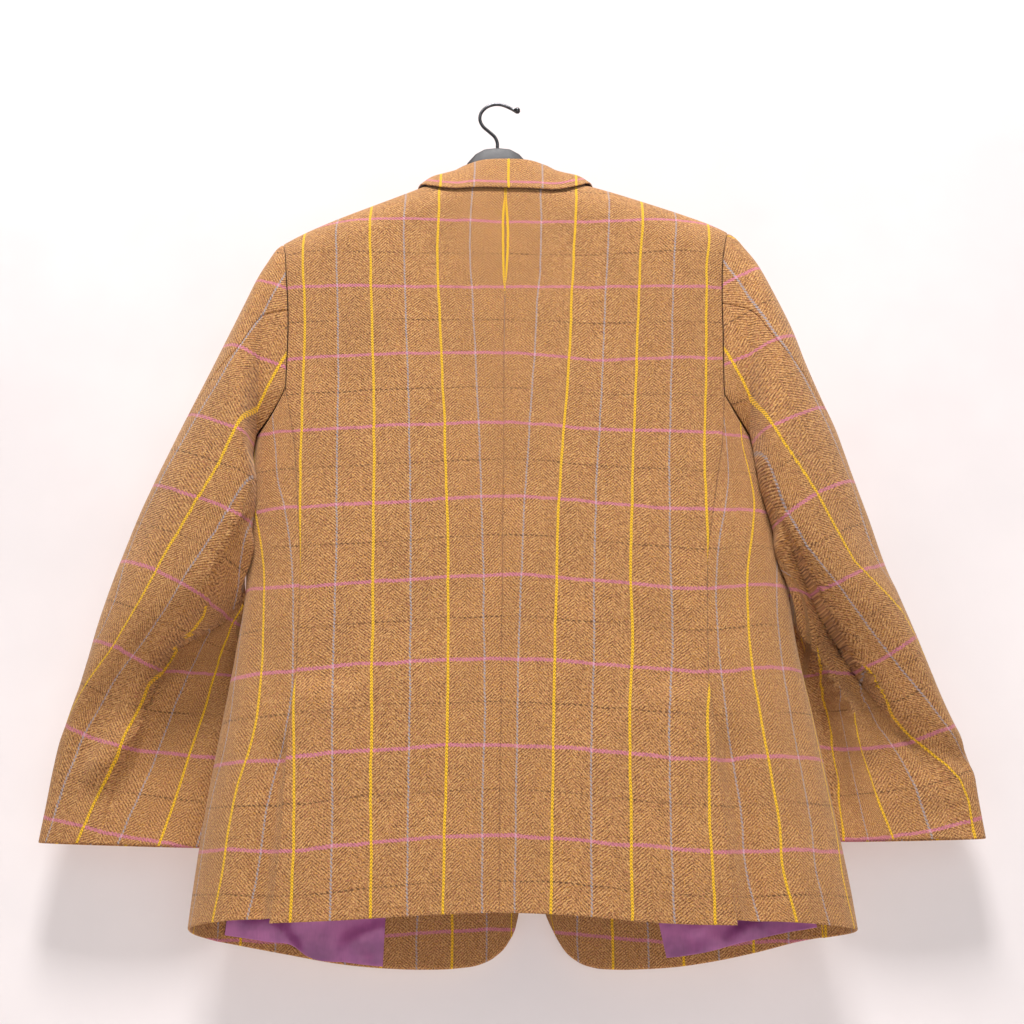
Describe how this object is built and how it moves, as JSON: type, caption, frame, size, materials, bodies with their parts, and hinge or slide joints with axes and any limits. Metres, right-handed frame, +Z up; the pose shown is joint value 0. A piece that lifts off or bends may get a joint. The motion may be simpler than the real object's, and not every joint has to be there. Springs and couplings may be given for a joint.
{
  "type": "tweed hacking jacket on a hanger",
  "caption": "Single-breasted tweed jacket with side vents, hung on a shaped hanger with a wire hook; neck, hem and cuffs are open.",
  "frame": {"origin": "where the top of the hanger's hook bears on the rod or wall hook that carries it", "axes": "+Z up, +Y towards the back of the jacket, +X towards the wearer's left"},
  "size_m": [0.9354, 0.1652, 0.9303],
  "materials": {
    "tweed": "matt brown herringbone wool with a windowpane check",
    "lining": "purple satin",
    "hanger": "satin",
    "hook": "satin",
    "button": "polished brown"
  },
  "bodies": {
    "root": {"back_left": "tweed", "side_left": "tweed", "front_left": "tweed", "sleeve_left_top": "tweed", "sleeve_left_under": "tweed", "facing_left": "tweed", "lining_left": "lining", "lapel_left": "tweed", "flap_left": "tweed", "back_right": "tweed", "side_right": "tweed", "front_right": "tweed", "sleeve_right_top": "tweed", "sleeve_right_under": "tweed", "facing_right": "tweed", "lining_right": "lining", "lapel_right": "tweed", "flap_right": "tweed", "collar": "tweed", "button_1": "button", "button_2": "button", "button_3": "button", "hanger_body": "hanger", "hanger_hook": "hook"}
  },
  "joints": []
}
